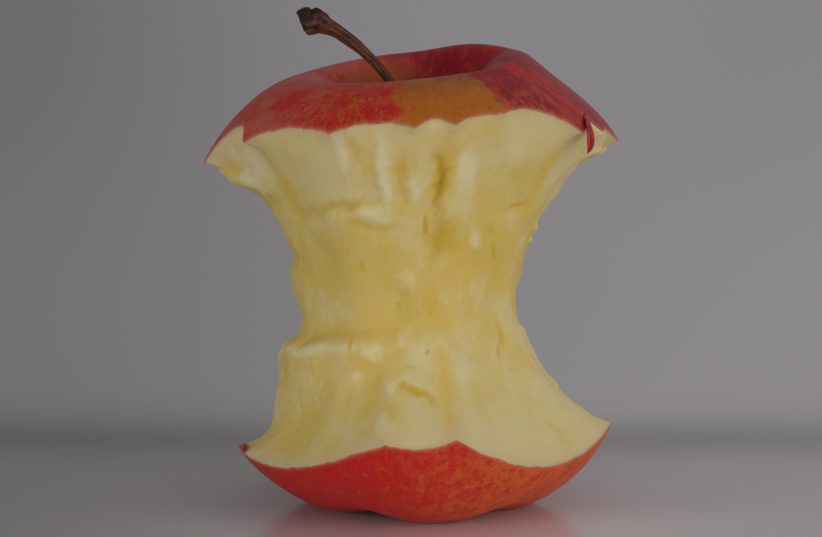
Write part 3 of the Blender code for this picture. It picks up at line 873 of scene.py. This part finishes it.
def skin_band(edge, size, name):
    """The band of azimuths and latitudes from the torn edge to the pole."""
    azimuth = np.linspace(-180.0, 180.0, SKIN_COLUMNS, endpoint=False)
    latitude, _ = rim(azimuth, edge, size)
    rows = np.linspace(0.0, 1.0, SKIN_ROWS)[:, None] ** SKIN_CROWDING
    latitudes = latitude + (math.radians(SKIN_POLE) - latitude) * rows
    to_edge = np.exp((latitude - latitudes) * size["Girth radius"] / TORN_REACH)
    azimuths = np.broadcast_to(np.radians(azimuth), latitudes.shape)
    flat = np.stack((np.cos(azimuths) * (2.0 - rows), np.sin(azimuths) * (2.0 - rows), 0.0 * latitudes), 2)
    if size["Reach"] < 0.0:  # turned over, so that its faces point outwards
        flat, azimuths, latitudes, to_edge = flat[::-1], azimuths[::-1], latitudes[::-1], to_edge[::-1]
        mesh = band_mesh(name, flat, low_pole=(0.0, 0.0, 0.0))
    else:
        mesh = band_mesh(name, flat, high_pole=(0.0, 0.0, 0.0))
    pole = np.full(1, math.radians(90.0))
    set_attribute(mesh, "azimuth", azimuths)
    set_attribute(mesh, "latitude", np.concatenate((latitudes.reshape(-1), pole)))
    set_attribute(mesh, "torn", np.concatenate((to_edge.reshape(-1), 0.0 * pole)))
    return mesh


def thicken(piece):
    """Gives a skin its thickness, inwards."""
    modifier = piece.modifiers.new("thickness", "SOLIDIFY")
    modifier.thickness = SKIN
    modifier.offset = -1.0
    mesh = evaluated_mesh(piece)
    piece.modifiers.clear()
    piece.data = mesh
    mesh.set_sharp_from_angle(angle=math.radians(CREASE))


def skin_material():
    """Waxy skin: red over olive and orange, streaked from stalk to calyx, with small pale dots."""
    made, place = new_material("apple skin")
    from_axis = {0: place, 1: (AXIS_X, AXIS_Y, 0.0)}
    x, y, z = place.node("ShaderNodeVectorMath", {"operation": "SUBTRACT"}, from_axis).split()
    far = (x * x + y * y) ** 0.5
    side = y.math("ARCTAN2", x) * (180.0 / math.pi)

    upper = z.smooth(30.0 * MM, 45.0 * MM)
    down = far + z * (1.0 - upper * 2.0) + (place.noise(160.0, 2.0) - 0.5) * 5.0 * MM

    def streaks(around, along, detail):
        """Noise drawn out from the stalk to the calyx."""
        return place.vector(x / far * around, y / far * around, down * along).noise(1.0, detail)

    def near_spot(azimuth, height, size):
        """1 in the middle of a spot on the cap and 0 outside it."""
        turn = math.radians(azimuth)
        _, radius = rim(np.array([azimuth]), np.array([height * MM]), UPPER_HALF)
        spot = (AXIS_X + radius[0] * math.cos(turn), AXIS_Y + radius[0] * math.sin(turn), height * MM)
        away = place.node("ShaderNodeVectorMath", {"operation": "DISTANCE"}, {0: place, 1: spot}, 1)
        return away.smooth(size * MM, 0.2 * size * MM)

    cloud = place.noise(120.0, 3.0)
    blotch = place.noise(430.0, 4.0)
    grain = place.noise(1500.0, 3.0)
    flecks = streaks(36.0, 260.0, 4.0)
    fine = streaks(30.0, 110.0, 4.0)
    broad = streaks(8.0, 70.0, 3.0)
    hairs = streaks(70.0, 420.0, 3.0)
    scratches = streaks(110.0, 60.0, 2.0)
    stray = (cloud - 0.5) * 16.0 + (blotch - 0.5) * 16.0

    # the cap: crimson on one side, plain olive in front, red mottled with orange on the other
    crimson = (broad * 0.35 + fine * 0.30 + blotch * 0.35 + cloud * 0.25).smooth(0.52, 0.76)
    crimson = crimson.mix(SKIN_CRIMSON, SKIN_RED)
    olive = (cloud * 0.5 + blotch * 0.5 + (z - 66.0 * MM) * 60.0).smooth(0.42, 0.75)
    olive = olive.mix(SKIN_OLIVE, SKIN_BROWN)
    olive = (fine * 0.6 + flecks * 0.4).smooth(0.50, 0.74).mix(olive, SKIN_ORANGE)
    cover = (flecks * 0.35 + blotch * 0.35 + grain * 0.25 + broad * 0.10).smooth(0.49, 0.63)
    ground = (cloud * 0.5 + blotch * 0.5).smooth(0.44, 0.62).mix(SKIN_OLIVE, SKIN_ORANGE)
    mottled = (cover * 0.72).mix(SKIN_RED, ground)
    right_of_olive = (side + stray * 0.6 + 57.0 + (z - 63.0 * MM) * 1170.0).smooth(-3.0, 3.0)
    left_of_olive = 1.0 - (side + stray * 1.3 + 98.0).smooth(-7.0, 6.0)
    beyond = (side.math("ABSOLUTE") - 110.0).smooth(-20.0, 20.0) * (side.smooth(-1.0, 1.0))
    cap = right_of_olive.mix(left_of_olive.mix(olive, mottled), crimson)
    cap = beyond.mix(cap, mottled)

    # orange specks low on the crimson side, brown and russet in the stalk's hollow
    low = (67.6 * MM - z + stray * 0.16 * MM).smooth(0.0, 3.2 * MM)
    low_right = right_of_olive * (side + 30.0).smooth(6.0, -14.0) * low
    cap = (low_right * (flecks * 0.4 + blotch * 0.6).smooth(0.44, 0.56) * 0.9).mix(cap, SKIN_ORANGE)
    inside = upper * far.smooth(15.0 * MM, 10.0 * MM)
    inner = (x + (cloud - 0.5) * 10.0 * MM).smooth(-4.0 * MM, 2.0 * MM).mix(SKIN_BROWN, SKIN_CRIMSON)
    inner = ((fine * 0.4 + blotch * 0.6).smooth(0.50, 0.66) * 0.3).mix(inner, SKIN_OLIVE)
    cap = (inside * 0.8).mix(cap, inner)
    cap = (upper * far.smooth(6.0 * MM, 2.5 * MM)).mix(cap, SKIN_RUSSET)

    # the base: deep red on one side, orange-red with yellow patches on the other, brown at its free tip
    warm = (side + 86.0 + stray * 1.6).smooth(-30.0, 34.0) * (1.0 - (side - 60.0).smooth(0.0, 40.0))
    warm = warm * (0.35 + (blotch * 0.6 + fine * 0.3 + grain * 0.3).smooth(0.44, 0.76) * 0.62)
    base = (warm + (flecks - 0.5) * 0.5).smooth(0.0, 1.0).mix(SKIN_BASE_RED, SKIN_BASE_ORANGE)
    patch = (warm - 0.55) * 2.0 * (cloud * 0.5 + flecks * 0.6).smooth(0.56, 0.74)
    base = (patch.smooth(0.0, 1.4) * 0.60).mix(base, SKIN_YELLOW)
    freckles = (grain * 0.55 + fine * 0.45 + (blotch - 0.5) * 0.3).smooth(0.545, 0.66)
    base = (freckles * 0.34).mix(base, SKIN_OLIVE)
    tip = (side.math("ABSOLUTE") - 150.0).smooth(-12.0, 14.0)
    tip = tip * (z + stray * 0.10 * MM).smooth(4.0 * MM, 8.5 * MM)
    base = (tip * (0.35 + blotch * 0.5)).mix(base, SKIN_BROWN)
    colour = upper.mix(base, cap)

    # over both: pale hairlines, a waxy whitish haze with a painted sheen on the -X side, dots and spots,
    # and the flesh's colour along the torn edge
    pale = hairs.smooth(0.55, 0.72) * 0.30 + scratches.smooth(0.66, 0.74) * cloud.smooth(0.42, 0.60) * 0.40
    # painted sheen, partly a real waxy haze: pale on the fruit's -X side
    bloom_and_sheen = (side.math("ABSOLUTE") - 120.0).smooth(-10.0, 30.0) * cloud.smooth(0.40, 0.62) * 0.45
    pale = (pale + bloom_and_sheen) * (0.25 + upper * 0.75) * (1.0 - inside)
    colour = pale.mix(colour, SKIN_PALE_AND_SHEEN)
    dots = place.node("ShaderNodeTexVoronoi", {}, {"Vector": place, "Scale": 300.0, "Randomness": 1.0})
    chosen, _, _ = dots.output(1).split()
    dotted = dots.smooth(0.16, 0.03) * chosen.smooth(0.62, 0.75) * 0.5
    colour = dotted.mix(colour, SKIN_DOT)
    for spot in SPOTS:
        colour = (near_spot(*spot) * 0.6).mix(colour, SKIN_SPOT)
    colour = near_spot(*RED_FLECK).mix(colour, SKIN_RED)
    colour = (place.attribute("torn") * 0.75).mix(colour, SKIN_TORN)
    return finish_material(made, {
        "Base Color": (grain.smooth(0.60, 0.36) * 0.22).mix(colour, SKIN_SHADOW, "MULTIPLY"),
        "Roughness": 0.36 + cloud * 0.14,
        "Normal": (flecks + blotch).bump(0.10, 0.12 * MM),
        "Specular IOR Level": 0.20,
        "Coat Weight": 0.04,
        "Coat Roughness": 0.26,
        "Subsurface Weight": 0.12,
        "Subsurface Radius": (1.0, 0.25, 0.12),
        "Subsurface Scale": 0.8 * MM,
    })


def skin_edges():
    """Heights of the skin's own edge, which leaves the flesh's at the wedge."""
    azimuth = np.linspace(-180.0, 180.0, SKIN_COLUMNS, endpoint=False)
    top = skin_edge(azimuth, UPPER_CORNERS)
    start, apex, end, rise = NOTCH
    tent = np.minimum((azimuth - start) / (apex - start), (end - azimuth) / (end - apex))
    top = top + np.clip(tent, 0.0, 1.0) * rise * MM
    return top, skin_edge(azimuth, LOWER_CORNERS)


def shred_mesh():
    """The torn shred of skin: rows from its root to its tip, between its two bent sides."""

    def spot(azimuth, height, radius):
        turn = math.radians(azimuth)
        across = radius * MM
        return np.array((AXIS_X + across * math.cos(turn), AXIS_Y + across * math.sin(turn), height * MM))

    root, left, right, tip = (spot(*p) for p in (SHRED_ROOT, SHRED_LEFT, SHRED_RIGHT, SHRED_TIP))
    down = np.linspace(0.0, 1.0, SHRED_ROWS)[:, None, None]
    across = np.linspace(0.0, 1.0, SHRED_COLUMNS)[None, :, None]

    def bent(middle):
        """A curve from the root through the middle to the tip."""
        pull = 2.0 * middle - 0.5 * root - 0.5 * tip
        return root * (1.0 - down) ** 2 + pull * 2.0 * down * (1.0 - down) + tip * down**2

    points = bent(left) + (bent(right) - bent(left)) * across
    facing = math.radians(SHRED_FACING)
    outward = np.array((math.cos(facing), math.sin(facing), 0.0))
    bulge = across * (1.0 - across) * 4.0 * down * (1.0 - down) * 4.0
    points = points + outward * bulge * SHRED_BULGE
    faces = []
    for row in range(SHRED_ROWS - 1):
        for column in range(SHRED_COLUMNS - 1):
            a = row * SHRED_COLUMNS + column
            faces.append((a, a + SHRED_COLUMNS, a + SHRED_COLUMNS + 1, a + 1))
    mesh = bpy.data.meshes.new("skin_shred")
    mesh.from_pydata(points.reshape(-1, 3).tolist(), [], faces)
    mesh.shade_smooth()
    return mesh


apple_skin = skin_material()
skin_grower = skin_tree()
top_edge, bottom_edge = skin_edges()
for name, edge, half in (("skin_cap", top_edge, UPPER_HALF), ("skin_base", bottom_edge, LOWER_HALF)):
    skin = grown(name, skin_band(edge, half, name), skin_grower, half, apple_skin)
    thicken(skin)
    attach(skin, "root")

shred = new_piece("skin_shred", shred_mesh(), apple_skin)
thicken(shred)
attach(shred, "root")


# --- Stalk ---------------------------------------------------------------------------------------------
# The woody stalk, about 1.5 mm thick, rooted in the upper hollow and bent over to the left. It ends in
# the swollen and cleft knob that held it to the twig. Its bark is ribbed lengthwise.

# Its centre line: (x, y, height, thickness) in mm, root first.
STALK = (
    (-1.9, 0.4, 56.6, 1.5),
    (-1.9, 0.4, 59.2, 1.5),
    (-2.4, 0.3, 62.0, 1.4),
    (-3.4, 0.2, 64.8, 1.3),
    (-4.6, 0.1, 67.0, 1.35),
    (-6.7, 0.0, 69.6, 1.5),
    (-8.3, -0.1, 71.2, 1.55),
    (-9.8, -0.1, 72.5, 1.8),
    (-11.4, -0.1, 73.7, 2.0),
    (-12.9, 0.0, 74.7, 2.2),
    (-14.4, 0.0, 75.4, 2.8),
    (-15.5, 0.1, 75.9, 3.9),
    (-16.6, 0.1, 76.1, 4.2),
    (-17.6, 0.1, 76.1, 4.0),
    (-18.2, 0.1, 75.9, 3.1),
)
STALK_SIZES = {
    "Rings": 170.0,
    "Sides": 40.0,
    "Ribs": 7.0,
    "Rib height": 0.07 * MM,
    "Bark height": 0.16 * MM,
    "Knob start": 0.83,
    "Knob ease": 0.07,
    "Knob lumps": 1.0 * MM,
    "Cleft X": -15.5 * MM,
    "Cleft width": 0.3 * MM,
    "Cleft depth": 0.3 * MM,
}
STALK_BROWN = (0.105, 0.036, 0.018, 1.0)
STALK_TAN = (0.20, 0.085, 0.042, 1.0)
STALK_DARK = (0.026, 0.012, 0.010, 1.0)
BARK_RELIEF = 0.09 * MM  # at which the bark is fully tan, or as deep fully dark


def stalk_line():
    mesh = bpy.data.meshes.new("stalk_line")
    points = [(AXIS_X + x * MM, AXIS_Y + y * MM, z * MM) for x, y, z, _ in STALK]
    mesh.from_pydata(points, [(k, k + 1) for k in range(len(STALK) - 1)], [])
    set_attribute(mesh, "thickness", np.array([row[3] * MM for row in STALK]))
    return mesh


def stalk_tree():
    """Sweeps a ring along the centre line, then ribs and roughens it."""
    tree, size = new_node_tree("woody stalk", STALK_SIZES)
    make = size["Geometry"].node
    share = make("GeometryNodeSplineParameter")
    line = make("GeometryNodeMeshToCurve", {}, {0: size["Geometry"]})
    line = make("GeometryNodeCurveSplineType", {"spline_type": "CATMULL_ROM"}, {0: line})
    line = make("GeometryNodeResampleCurve", {}, {0: line, "Count": size["Rings"]}).keep("along", share)
    ring = make("GeometryNodeCurvePrimitiveCircle", {}, {"Resolution": size["Sides"], "Radius": 1.0})
    ring = ring.keep("around", share)
    thickness = line.attribute("thickness")
    values = {0: line, "Profile Curve": ring, "Scale": thickness * 0.5, "Fill Caps": True}
    body = make("GeometryNodeCurveToMesh", {}, values)

    along = body.attribute("along")
    turn = body.attribute("around") * (2.0 * math.pi)
    place = make("GeometryNodeInputPosition")
    x, _, _ = place.split()
    bark = place.vector(turn.math("COSINE") * 2.6, turn.math("SINE") * 2.6, along * 14.0).noise(1.0, 5.0)
    lumps = place.noise(560.0, 4.0)
    on_knob = along.smooth(size["Knob start"], size["Knob start"] + size["Knob ease"])
    ribs = (turn * size["Ribs"] + bark * 7.0).math("SINE") * size["Rib height"]
    rough = (bark - 0.5) * size["Bark height"] + (lumps - 0.5) * size["Knob lumps"] * on_knob
    off_cleft = (x - size["Cleft X"]) / size["Cleft width"]
    cleft = (-1.0 * off_cleft * off_cleft).math("EXPONENT") * size["Cleft depth"] * on_knob
    normal = make("GeometryNodeInputNormal")
    _, _, upward = normal.split()
    raised = ribs + rough - cleft * upward.smooth(0.0, 0.6)
    push = make("ShaderNodeVectorMath", {"operation": "SCALE"}, {0: normal, "Scale": raised})
    body = body.keep("raised", raised).keep("knob", on_knob)
    body = make("GeometryNodeSetPosition", {}, {0: body, "Offset": push})
    return finish_tree(tree, body, size["Material"])


def stalk_material():
    """Dry reddish-brown bark, tan where it stands proud and nearly black in its cracks and on the knob."""
    made, place = new_material("stalk wood")
    knob = place.attribute("knob")
    raised = place.attribute("raised") / BARK_RELIEF * (1.0 - knob * 0.7)
    fine = place.noise(2200.0, 4.0)
    patch = place.noise(700.0, 3.0)
    proud = (raised + (fine - 0.5) * 1.6).smooth(0.1, 1.1)
    dark = ((patch - 0.5) * 2.4 + knob * 0.75 - raised).smooth(0.2, 1.1)
    return finish_material(made, {
        "Base Color": dark.mix(proud.mix(STALK_BROWN, STALK_TAN), STALK_DARK),
        "Roughness": 0.62 + fine * 0.2,
        "Specular IOR Level": 0.25,
        "Normal": (fine + patch).bump(0.5, 0.08 * MM),
    })


stalk = grown("bent_stalk", stalk_line(), stalk_tree(), STALK_SIZES, stalk_material())
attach(stalk, "root")
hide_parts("stalk")


# --- Calyx ---------------------------------------------------------------------------------------------
# What the blossom left in the basin under the fruit: five withered brown sepals, curled outwards and
# down, round a tuft of dry stamens. All of it grew from the bottom of the basin.

SEPAL_SIZES = {
    "Root radius": 0.7 * MM,
    "Root height": 7.5 * MM,
    "Reach": 2.1 * MM,
    "Drop": 4.1 * MM,
    "Width": 1.9 * MM,
    "Crumple": 0.45 * MM,
    "Thickness": 0.22 * MM,
    "Sepals": 5.0,
    "Sepal turn": math.radians(72.0),
    "Sepal spread": 0.0001 * MM,
    "Stamens": 11.0,
    "Stamen turn": math.radians(137.5),
    "Stamen spread": 0.55 * MM,
    "Stamen length": 3.4 * MM,
    "Stamen radius": 0.10 * MM,
    "Seed": 4.0,
}
SEPAL_BROWN = (0.13, 0.080, 0.045, 1.0)
SEPAL_GREY = (0.32, 0.24, 0.165, 1.0)


def joined(first, second):
    """Two shapes in one."""
    both = first.node("GeometryNodeJoinGeometry", {}, {0: first})
    first.tree.links.new(second.socket, both.socket.node.inputs[0])
    return both


def ring_of(shape, count, radius, turned, lengths):
    """Copies of a shape on a circle, each turned in its own way and stretched along its length."""
    values = {"Vertices": count, "Radius": radius}
    return shape.node("GeometryNodeInstanceOnPoints", {}, {
        0: shape.node("GeometryNodeMeshCircle", {}, values),
        "Instance": shape,
        "Rotation": shape.node("FunctionNodeEulerToRotation", {}, {0: turned}),
        "Scale": shape.vector(1.0, 1.0, lengths),
    })


def calyx_tree():
    """Shapes one sepal from a grid, sets five of them round the axis and a tuft of stamens inside."""
    tree, size = new_node_tree("withered calyx", SEPAL_SIZES)
    wire = size["Geometry"]
    make = wire.node
    order = make("GeometryNodeInputIndex")
    values = {2: 0.0, 3: 1.0, "Seed": size["Seed"]}
    chance = make("FunctionNodeRandomValue", {"data_type": "FLOAT"}, values, 1)

    along, across, _ = make("GeometryNodeInputPosition").split()
    along = along + 0.5  # 0 at the root and 1 at the tip
    narrow = (1.0 - along**2.2) * 0.85 + 0.12
    wave = (along * 11.0 + across * 5.0).math("SINE") * along
    curl = (across * 2.0) ** 2.0 * along
    place = wire.vector(
        size["Root radius"] + size["Reach"] * (along * 1.7).math("SINE") - curl * 0.35 * size["Reach"],
        across * narrow * size["Width"] + wave * 0.5 * size["Crumple"],
        size["Root height"] - size["Drop"] * along**1.3 + (wave + curl) * size["Crumple"],
    )
    values = {"Size X": 1.0, "Size Y": 1.0, "Vertices X": 15, "Vertices Y": 9}
    grid = make("GeometryNodeMeshGrid", {}, values)
    sheet = make("GeometryNodeSetPosition", {}, {0: grid, "Position": place})
    values = {0: sheet, "Offset Scale": size["Thickness"], "Individual": False}
    thick = make("GeometryNodeExtrudeMesh", {}, values)
    sepal = joined(thick, make("GeometryNodeFlipFaces", {}, {0: sheet}))
    sepal = make("GeometryNodeMergeByDistance", {}, {0: sepal, "Distance": 0.01 * MM})
    turned = wire.vector((chance - 0.5) * 0.16, 0.0, order * size["Sepal turn"] + (chance - 0.5) * 0.5)
    sepals = ring_of(sepal, size["Sepals"], size["Sepal spread"], turned, 1.0)

    values = {0: (0.0, 0.0, 0.0), 1: wire.vector(0.0, 0.0, -1.0 * size["Stamen length"])}
    line = make("GeometryNodeCurvePrimitiveLine", {}, values)
    values = {"Resolution": 7, "Radius": size["Stamen radius"]}
    profile = make("GeometryNodeCurvePrimitiveCircle", {}, values)
    stamen = make("GeometryNodeCurveToMesh", {}, {0: line, "Profile Curve": profile, "Fill Caps": True})
    turned = wire.vector(0.0, -0.12 - chance * 0.30, order * size["Stamen turn"])
    tuft = ring_of(stamen, size["Stamens"], size["Stamen spread"], turned, 0.75 + chance * 0.25)
    values = {0: tuft, "Translation": wire.vector(0.0, 0.0, size["Root height"])}
    tuft = make("GeometryNodeTransform", {}, values)
    values = {0: joined(sepals, tuft), "Translation": (AXIS_X, AXIS_Y, 0.0)}
    return finish_tree(tree, make("GeometryNodeTransform", {}, values), size["Material"])


def calyx_material():
    """Dry papery sepals, dark brown with greyish down."""
    made, place = new_material("dried sepals")
    fine = place.noise(2600.0, 3.0)
    patch = place.noise(900.0, 3.0)
    return finish_material(made, {
        "Base Color": (fine * 0.5 + patch * 0.5).smooth(0.42, 0.66).mix(SEPAL_BROWN, SEPAL_GREY),
        "Roughness": 0.75 + fine * 0.2,
        "Normal": fine.bump(0.4, 0.06 * MM),
    })


bare = bpy.data.meshes.new("calyx_start")
calyx = grown("withered_calyx", bare, calyx_tree(), SEPAL_SIZES, calyx_material())
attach(calyx, "root")
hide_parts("calyx")


# --- Floor, light and camera ---------------------------------------------------------------------------
# A plain pale table with a dull shine, a soft painted shadow band across it behind the fruit, and painted
# light that makes it lighter towards the window and close in front of the fruit. A wide window
# lights it from the right and a smaller light from the left, in a soft grey room.

FLOOR_RADIUS = 6.0
SHADE_BAND_Y = 48.0 * MM  # where the painted shadow band runs
SHADE_BAND_WIDTH = 14.0 * MM
SHADE_BAND_DARKNESS = 0.38
TABLE_TONE = (0.72, 0.70, 0.70)
ROOM_TONE = (0.25, 0.24, 0.25)
# The lights: place, what they point at, width and watts.
LIGHTS = {
    "window": ((0.72, -0.64, 0.18), (0.0, 0.0, 0.035), 0.8, 3.08),
    "fill": ((-0.76, -0.56, 0.12), (0.0, 0.0, 0.04), 0.45, 2.6),
    "glow of the table": ((0.10, -0.50, 0.05), (0.0, 0.0, 0.01), 0.25, 0.2),
}
CAMERA_TARGET = Vector((AXIS_X - 1.10 * MM, AXIS_Y, 37.3 * MM))
CAMERA_DISTANCE = 0.400
CAMERA_ELEVATION = 8.0
LENS = 111.2  # mm, on a sensor 36 mm wide


def floor_mesh():
    mesh = bpy.data.meshes.new("floor")
    bm = bmesh.new()
    bmesh.ops.create_circle(bm, cap_ends=True, segments=96, radius=FLOOR_RADIUS)
    bm.to_mesh(mesh)
    bm.free()
    return mesh


def floor_material():
    """Pale and slightly shiny, with painted light towards the window and close in front of the fruit, and a
    painted shadow band.
    """
    made, place = new_material("pale table")
    x, y, _ = place.split()
    # painted shadow: a soft darker band where a backdrop would bend up behind the fruit
    off_band = (y - SHADE_BAND_Y) / SHADE_BAND_WIDTH
    band = (-1.0 * off_band * off_band).math("EXPONENT")
    # painted light: the table gets lighter towards the window's side, more so behind the fruit
    fan = x / (y + CAMERA_DISTANCE).math("MAXIMUM", 0.05)
    near = 0.51 + 0.38 * fan.smooth(-0.19, 0.10)
    behind = 0.70 + 0.32 * fan.smooth(-0.17, 0.12)
    spread = near + (behind - near) * y.smooth(0.05, 0.10)
    in_front = 1.0 + y.smooth(-0.045, -0.075) * 0.3
    # painted light: a pale pool on the table just in front of the fruit
    painted_light_in_front = (x * x * (-1.0 / 0.045**2)).math("EXPONENT") * y.smooth(0.0, -0.02) * 0.35
    # the table's tone, carrying the painted light and the painted shadow band
    shade = (1.0 - band * SHADE_BAND_DARKNESS) * spread * (in_front + painted_light_in_front)
    values = {0: TABLE_TONE, "Scale": shade}
    return finish_material(made, {
        "Base Color": place.node("ShaderNodeVectorMath", {"operation": "SCALE"}, values),
        "Roughness": 0.16,
        "IOR": 1.52,
    })


floor = new_piece("floor", floor_mesh(), floor_material())

for name, (place, target, width, watts) in LIGHTS.items():
    lamp = bpy.data.lights.new(name, "AREA")
    lamp.shape = "DISK"
    lamp.size = width
    lamp.energy = watts
    holder = new_piece(name, lamp)
    holder.location = place
    holder.rotation_euler = (Vector(target) - Vector(place)).to_track_quat("-Z", "Y").to_euler()
    holder.visible_camera = False

world = bpy.data.worlds.new("soft grey room")
world.use_nodes = True
air = Wire(world.node_tree)
x, y, z = air.node("ShaderNodeTexCoord").split()
level = (1.0 + x * 1.5).math("MAXIMUM", 0.6).math("MINIMUM", 1.4)  # brighter on the window's side
low_behind = y.smooth(0.6, 0.95) * z.smooth(0.12, 0.05)  # dimmer there, but for its middle
level = level * (1.0 + low_behind * (x.math("ABSOLUTE").smooth(0.16, 0.0) * 0.40 - 0.27))
glow = air.node("ShaderNodeVectorMath", {"operation": "SCALE"}, {0: ROOM_TONE, "Scale": level})
air.tree.links.new(glow.socket, world.node_tree.nodes["Background"].inputs[0])
bpy.context.scene.world = world
bpy.context.scene.view_settings.view_transform = "Standard"

camera_data = bpy.data.cameras.new("camera")
camera_data.sensor_width = 36.0
camera_data.lens = LENS
camera_data.clip_start = 0.01
camera = new_piece("camera", camera_data)
tilt = math.radians(CAMERA_ELEVATION)
camera.location = CAMERA_TARGET + CAMERA_DISTANCE * Vector((0.0, -math.cos(tilt), math.sin(tilt)))
camera.rotation_euler = (math.radians(90.0) - tilt, 0.0, 0.0)
bpy.context.scene.camera = camera
